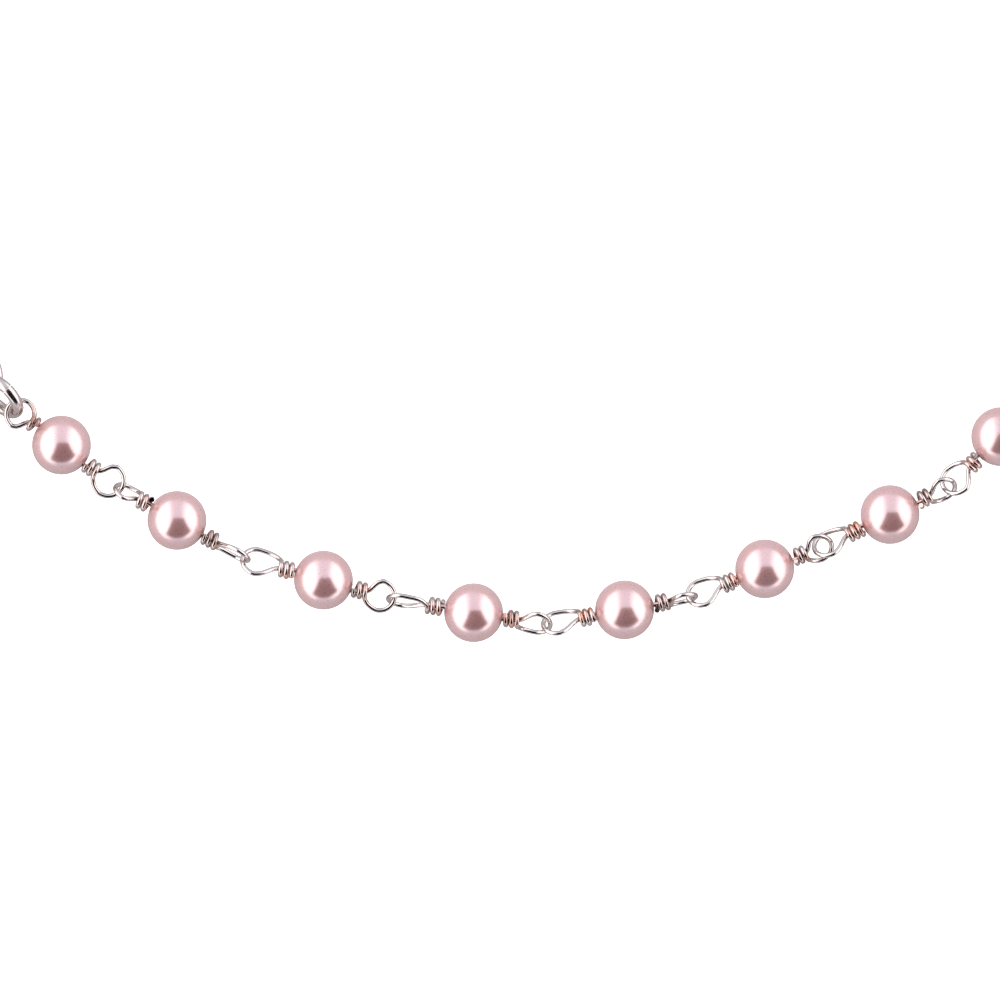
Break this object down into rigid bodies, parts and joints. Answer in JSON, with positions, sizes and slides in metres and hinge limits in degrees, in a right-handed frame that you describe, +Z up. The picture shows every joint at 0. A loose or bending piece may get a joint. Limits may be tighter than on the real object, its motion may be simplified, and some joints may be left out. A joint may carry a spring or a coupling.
{
  "type": "pearl necklace",
  "caption": "Rosary-style necklace: round drilled pearls, each free on its own wrapped silver wire, hooked eye to eye, with a catch ring and a spring-ring clasp; laid open.",
  "frame": {"origin": "on the table, under the middle of the laid-out necklace's box", "axes": "+Z up from the table through the laid-out necklace; +Y from the low front arc of the layout towards the clasp side; X across it"},
  "size_m": [0.143, 0.2018, 0.006],
  "materials": {
    "pearl": "pearlescent coat, pale rose over lavender",
    "link_wire": "bright silver-plated drawn wire, warm tint",
    "ring": "bright silver plate, lightly handled",
    "clasp_shell": "polished silver plate",
    "spring_steel": "drawn spring wire"
  },
  "bodies": {
    "wire_link_01": {"wire_link_01": "link_wire"},
    "pearl_01": {"pearl_01": "pearl"},
    "wire_link_02": {"wire_link_02": "link_wire"},
    "pearl_02": {"pearl_02": "pearl"},
    "wire_link_03": {"wire_link_03": "link_wire"},
    "pearl_03": {"pearl_03": "pearl"},
    "wire_link_04": {"wire_link_04": "link_wire"},
    "pearl_04": {"pearl_04": "pearl"},
    "wire_link_05": {"wire_link_05": "link_wire"},
    "pearl_05": {"pearl_05": "pearl"},
    "wire_link_06": {"wire_link_06": "link_wire"},
    "pearl_06": {"pearl_06": "pearl"},
    "wire_link_07": {"wire_link_07": "link_wire"},
    "pearl_07": {"pearl_07": "pearl"},
    "wire_link_08": {"wire_link_08": "link_wire"},
    "pearl_08": {"pearl_08": "pearl"},
    "wire_link_09": {"wire_link_09": "link_wire"},
    "pearl_09": {"pearl_09": "pearl"},
    "wire_link_10": {"wire_link_10": "link_wire"},
    "pearl_10": {"pearl_10": "pearl"},
    "wire_link_11": {"wire_link_11": "link_wire"},
    "pearl_11": {"pearl_11": "pearl"},
    "wire_link_12": {"wire_link_12": "link_wire"},
    "pearl_12": {"pearl_12": "pearl"},
    "wire_link_13": {"wire_link_13": "link_wire"},
    "pearl_13": {"pearl_13": "pearl"},
    "wire_link_14": {"wire_link_14": "link_wire"},
    "pearl_14": {"pearl_14": "pearl"},
    "wire_link_15": {"wire_link_15": "link_wire"},
    "pearl_15": {"pearl_15": "pearl"},
    "wire_link_16": {"wire_link_16": "link_wire"},
    "pearl_16": {"pearl_16": "pearl"},
    "wire_link_17": {"wire_link_17": "link_wire"},
    "pearl_17": {"pearl_17": "pearl"},
    "wire_link_18": {"wire_link_18": "link_wire"},
    "pearl_18": {"pearl_18": "pearl"},
    "wire_link_19": {"wire_link_19": "link_wire"},
    "pearl_19": {"pearl_19": "pearl"},
    "wire_link_20": {"wire_link_20": "link_wire"},
    "pearl_20": {"pearl_20": "pearl"},
    "wire_link_21": {"wire_link_21": "link_wire"},
    "pearl_21": {"pearl_21": "pearl"},
    "wire_link_22": {"wire_link_22": "link_wire"},
    "pearl_22": {"pearl_22": "pearl"},
    "wire_link_23": {"wire_link_23": "link_wire"},
    "pearl_23": {"pearl_23": "pearl"},
    "wire_link_24": {"wire_link_24": "link_wire"},
    "pearl_24": {"pearl_24": "pearl"},
    "wire_link_25": {"wire_link_25": "link_wire"},
    "pearl_25": {"pearl_25": "pearl"},
    "catch_jump_ring": {"catch_jump_ring": "ring"},
    "catch_ring": {"catch_ring": "ring"},
    "clasp_jump_ring": {"clasp_jump_ring": "ring"},
    "clasp": {"clasp_case": "clasp_shell", "clasp_tail_eye": "clasp_shell", "clasp_spring": "spring_steel"},
    "clasp_bolt": {"clasp_bolt": "clasp_shell", "clasp_thumb_knob": "clasp_shell"}
  },
  "joints": [
    {"name": "pearl_01_spin", "type": "hinge", "parent": "wire_link_01", "child": "pearl_01", "pos_m": [-0.0589, -0.08088, 0.003], "axis": [0.7986, -0.6018, 0], "continuous": true},
    {"name": "pearl_02_spin", "type": "hinge", "parent": "wire_link_02", "child": "pearl_02", "pos_m": [-0.04715, -0.08854, 0.003], "axis": [0.8746, -0.4848, 0], "continuous": true},
    {"name": "pearl_03_spin", "type": "hinge", "parent": "wire_link_03", "child": "pearl_03", "pos_m": [-0.03225, -0.09462, 0.003], "axis": [0.9636, -0.2672, 0], "continuous": true},
    {"name": "pearl_04_spin", "type": "hinge", "parent": "wire_link_04", "child": "pearl_04", "pos_m": [-0.01697, -0.09793, 0.003], "axis": [0.9863, -0.165, 0], "continuous": true},
    {"name": "pearl_05_spin", "type": "hinge", "parent": "wire_link_05", "child": "pearl_05", "pos_m": [-0.00162, -0.09764, 0.003], "axis": [0.9816, 0.1908, 0], "continuous": true},
    {"name": "pearl_06_spin", "type": "hinge", "parent": "wire_link_06", "child": "pearl_06", "pos_m": [0.01264, -0.09347, 0.003], "axis": [0.9336, 0.3584, 0], "continuous": true},
    {"name": "pearl_07_spin", "type": "hinge", "parent": "wire_link_07", "child": "pearl_07", "pos_m": [0.02539, -0.08794, 0.003], "axis": [0.9026, 0.4305, 0], "continuous": true},
    {"name": "pearl_08_spin", "type": "hinge", "parent": "wire_link_08", "child": "pearl_08", "pos_m": [0.03666, -0.08002, 0.003], "axis": [0.7193, 0.6947, 0], "continuous": true},
    {"name": "pearl_09_spin", "type": "hinge", "parent": "wire_link_09", "child": "pearl_09", "pos_m": [0.04604, -0.0696, 0.003], "axis": [0.6124, 0.7905, 0], "continuous": true},
    {"name": "pearl_10_spin", "type": "hinge", "parent": "wire_link_10", "child": "pearl_10", "pos_m": [0.05498, -0.05613, 0.003], "axis": [0.4929, 0.8701, 0], "continuous": true},
    {"name": "pearl_11_spin", "type": "hinge", "parent": "wire_link_11", "child": "pearl_11", "pos_m": [0.0616, -0.04199, 0.003], "axis": [0.3632, 0.9317, 0], "continuous": true},
    {"name": "pearl_12_spin", "type": "hinge", "parent": "wire_link_12", "child": "pearl_12", "pos_m": [0.06616, -0.02711, 0.003], "axis": [0.226, 0.9741, 0], "continuous": true},
    {"name": "pearl_13_spin", "type": "hinge", "parent": "wire_link_13", "child": "pearl_13", "pos_m": [0.06841, -0.01241, 0.003], "axis": [0.0841, 0.9965, 0], "continuous": true},
    {"name": "pearl_14_spin", "type": "hinge", "parent": "wire_link_14", "child": "pearl_14", "pos_m": [0.06849, 0.00146, 0.003], "axis": [-0.0595, 0.9982, 0], "continuous": true},
    {"name": "pearl_15_spin", "type": "hinge", "parent": "wire_link_15", "child": "pearl_15", "pos_m": [0.06663, 0.01526, 0.003], "axis": [-0.2019, 0.9794, 0], "continuous": true},
    {"name": "pearl_16_spin", "type": "hinge", "parent": "wire_link_16", "child": "pearl_16", "pos_m": [0.06285, 0.02876, 0.003], "axis": [-0.3401, 0.9404, 0], "continuous": true},
    {"name": "pearl_17_spin", "type": "hinge", "parent": "wire_link_17", "child": "pearl_17", "pos_m": [0.05626, 0.04352, 0.003], "axis": [-0.4713, 0.882, 0], "continuous": true},
    {"name": "pearl_18_spin", "type": "hinge", "parent": "wire_link_18", "child": "pearl_18", "pos_m": [0.04785, 0.05668, 0.003], "axis": [-0.5928, 0.8054, 0], "continuous": true},
    {"name": "pearl_19_spin", "type": "hinge", "parent": "wire_link_19", "child": "pearl_19", "pos_m": [0.03772, 0.06849, 0.003], "axis": [-0.702, 0.7122, 0], "continuous": true},
    {"name": "pearl_20_spin", "type": "hinge", "parent": "wire_link_20", "child": "pearl_20", "pos_m": [0.02651, 0.07826, 0.003], "axis": [-0.7968, 0.6043, 0], "continuous": true},
    {"name": "pearl_21_spin", "type": "hinge", "parent": "wire_link_21", "child": "pearl_21", "pos_m": [0.01484, 0.08575, 0.003], "axis": [-0.8751, 0.4839, 0], "continuous": true},
    {"name": "pearl_22_spin", "type": "hinge", "parent": "wire_link_22", "child": "pearl_22", "pos_m": [0.00218, 0.09156, 0.003], "axis": [-0.9354, 0.3536, 0], "continuous": true},
    {"name": "pearl_23_spin", "type": "hinge", "parent": "wire_link_23", "child": "pearl_23", "pos_m": [-0.01125, 0.0956, 0.003], "axis": [-0.9764, 0.2159, 0], "continuous": true},
    {"name": "pearl_24_spin", "type": "hinge", "parent": "wire_link_24", "child": "pearl_24", "pos_m": [-0.02724, 0.09793, 0.003], "axis": [-0.9973, 0.0739, 0], "continuous": true},
    {"name": "pearl_25_spin", "type": "hinge", "parent": "wire_link_25", "child": "pearl_25", "pos_m": [-0.04285, 0.09786, 0.003], "axis": [-0.9976, -0.0698, 0], "continuous": true},
    {"name": "wire_link_01_swing", "type": "hinge", "parent": "wire_link_02", "child": "wire_link_01", "pos_m": [-0.05337, -0.0851, 0.003], "axis": [-0.2424, -0.4373, 0.866], "range_deg": [-60, 60]},
    {"name": "wire_link_02_swing", "type": "hinge", "parent": "wire_link_03", "child": "wire_link_02", "pos_m": [-0.04044, -0.09234, 0.003], "axis": [0.2189, 0.7894, -0.5736], "range_deg": [-60, 60]},
    {"name": "wire_link_03_swing", "type": "hinge", "parent": "wire_link_04", "child": "wire_link_03", "pos_m": [-0.02565, -0.09648, 0.003], "axis": [-0.0564, -0.3373, -0.9397], "range_deg": [-60, 60]},
    {"name": "wire_link_04_swing", "type": "hinge", "parent": "wire_link_05", "child": "wire_link_04", "pos_m": [-0.00986, -0.09924, 0.003], "axis": [0.1349, -0.6941, 0.7071], "range_deg": [-60, 60]},
    {"name": "wire_link_05_swing", "type": "hinge", "parent": "wire_link_06", "child": "wire_link_05", "pos_m": [0.00565, -0.09623, 0.003], "axis": [-0.0494, 0.2541, 0.9659], "range_deg": [-60, 60]},
    {"name": "wire_link_06_swing", "type": "hinge", "parent": "wire_link_07", "child": "wire_link_06", "pos_m": [0.01941, -0.09087, 0.003], "axis": [-0.2936, 0.7647, 0.5736], "range_deg": [-60, 60]},
    {"name": "wire_link_07_swing", "type": "hinge", "parent": "wire_link_08", "child": "wire_link_07", "pos_m": [0.03193, -0.08482, 0.003], "axis": [0.3044, -0.6382, -0.7071], "range_deg": [-60, 60]},
    {"name": "wire_link_08_swing", "type": "hinge", "parent": "wire_link_09", "child": "wire_link_08", "pos_m": [0.04209, -0.07477, 0.003], "axis": [0.692, -0.7166, -0.0872], "range_deg": [-60, 60]},
    {"name": "wire_link_09_swing", "type": "hinge", "parent": "wire_link_10", "child": "wire_link_09", "pos_m": [0.05113, -0.06303, 0.003], "axis": [-0.2046, 0.1585, 0.9659], "range_deg": [-60, 60]},
    {"name": "wire_link_10_swing", "type": "hinge", "parent": "wire_link_11", "child": "wire_link_10", "pos_m": [0.05866, -0.04965, 0.003], "axis": [-0.8668, 0.491, 0.0872], "range_deg": [-60, 60]},
    {"name": "wire_link_11_swing", "type": "hinge", "parent": "wire_link_12", "child": "wire_link_11", "pos_m": [0.06447, -0.03463, 0.003], "axis": [0.5989, -0.2334, -0.766], "range_deg": [-60, 60]},
    {"name": "wire_link_12_swing", "type": "hinge", "parent": "wire_link_13", "child": "wire_link_12", "pos_m": [0.06771, -0.02068, 0.003], "axis": [0.8163, -0.0689, 0.5736], "range_deg": [-60, 60]},
    {"name": "wire_link_14_swing", "type": "hinge", "parent": "wire_link_13", "child": "wire_link_14", "pos_m": [0.069, -0.00698, 0.003], "axis": [0.7059, 0.0421, 0.7071], "range_deg": [-60, 60]},
    {"name": "wire_link_15_swing", "type": "hinge", "parent": "wire_link_14", "child": "wire_link_15", "pos_m": [0.06821, 0.00761, 0.003], "axis": [-0.8482, -0.1748, -0.5], "range_deg": [-60, 60]},
    {"name": "wire_link_16_swing", "type": "hinge", "parent": "wire_link_15", "child": "wire_link_16", "pos_m": [0.06527, 0.02208, 0.003], "axis": [-0.4702, -0.17, -0.866], "range_deg": [-60, 60]},
    {"name": "wire_link_17_swing", "type": "hinge", "parent": "wire_link_16", "child": "wire_link_17", "pos_m": [0.06027, 0.03602, 0.003], "axis": [0.7225, 0.3861, 0.5736], "range_deg": [-60, 60]},
    {"name": "wire_link_18_swing", "type": "hinge", "parent": "wire_link_17", "child": "wire_link_18", "pos_m": [0.05307, 0.04959, 0.003], "axis": [-0.2755, -0.2027, 0.9397], "range_deg": [-60, 60]},
    {"name": "wire_link_19_swing", "type": "hinge", "parent": "wire_link_18", "child": "wire_link_19", "pos_m": [0.04362, 0.06251, 0.003], "axis": [-0.5036, -0.4964, -0.7071], "range_deg": [-60, 60]},
    {"name": "wire_link_20_swing", "type": "hinge", "parent": "wire_link_19", "child": "wire_link_20", "pos_m": [0.03252, 0.07377, 0.003], "axis": [0.1843, 0.1817, -0.9659], "range_deg": [-60, 60]},
    {"name": "wire_link_21_swing", "type": "hinge", "parent": "wire_link_20", "child": "wire_link_21", "pos_m": [0.02073, 0.08264, 0.003], "axis": [0.495, 0.6527, -0.5736], "range_deg": [-60, 60]},
    {"name": "wire_link_22_swing", "type": "hinge", "parent": "wire_link_21", "child": "wire_link_22", "pos_m": [0.00849, 0.08926, 0.003], "axis": [-0.3422, -0.6188, 0.7071], "range_deg": [-60, 60]},
    {"name": "wire_link_23_swing", "type": "hinge", "parent": "wire_link_22", "child": "wire_link_23", "pos_m": [-0.00488, 0.09423, 0.003], "axis": [-0.3522, -0.9318, 0.0872], "range_deg": [-60, 60]},
    {"name": "wire_link_24_swing", "type": "hinge", "parent": "wire_link_23", "child": "wire_link_24", "pos_m": [-0.01935, 0.09739, 0.003], "axis": [0.0559, 0.2527, -0.9659], "range_deg": [-60, 60]},
    {"name": "wire_link_25_swing", "type": "hinge", "parent": "wire_link_24", "child": "wire_link_25", "pos_m": [-0.03467, 0.09848, 0.003], "axis": [0.0736, 0.9935, -0.0872], "range_deg": [-60, 60]},
    {"name": "catch_jump_ring_swing", "type": "hinge", "parent": "wire_link_01", "child": "catch_jump_ring", "pos_m": [-0.06346, -0.07744, 0.003], "axis": [0.31, 0.31, 0.8988], "range_deg": [-60, 60]},
    {"name": "catch_ring_swing", "type": "hinge", "parent": "catch_jump_ring", "child": "catch_ring", "pos_m": [-0.06559, -0.07531, 0.003], "axis": [0.4067, 0.9135, 0], "range_deg": [-60, 60]},
    {"name": "clasp_jump_ring_swing", "type": "hinge", "parent": "wire_link_25", "child": "clasp_jump_ring", "pos_m": [-0.05074, 0.09731, 0.003], "axis": [0.0448, -0.6412, 0.766], "range_deg": [-60, 60]},
    {"name": "clasp_swing", "type": "hinge", "parent": "clasp_jump_ring", "child": "clasp", "pos_m": [-0.05353, 0.09712, 0.003], "axis": [0.0655, -0.9374, -0.342], "range_deg": [-60, 60]},
    {"name": "clasp_bolt_draw", "type": "hinge", "parent": "clasp", "child": "clasp_bolt", "pos_m": [-0.05818, 0.0962, 0.00141], "axis": [0.2639, 0.0465, -0.9634], "range_deg": [0, 50], "stiffness_Nm_per_rad": 0.002, "springref_deg": -17.19, "deforming": ["clasp_spring"]}
  ]
}
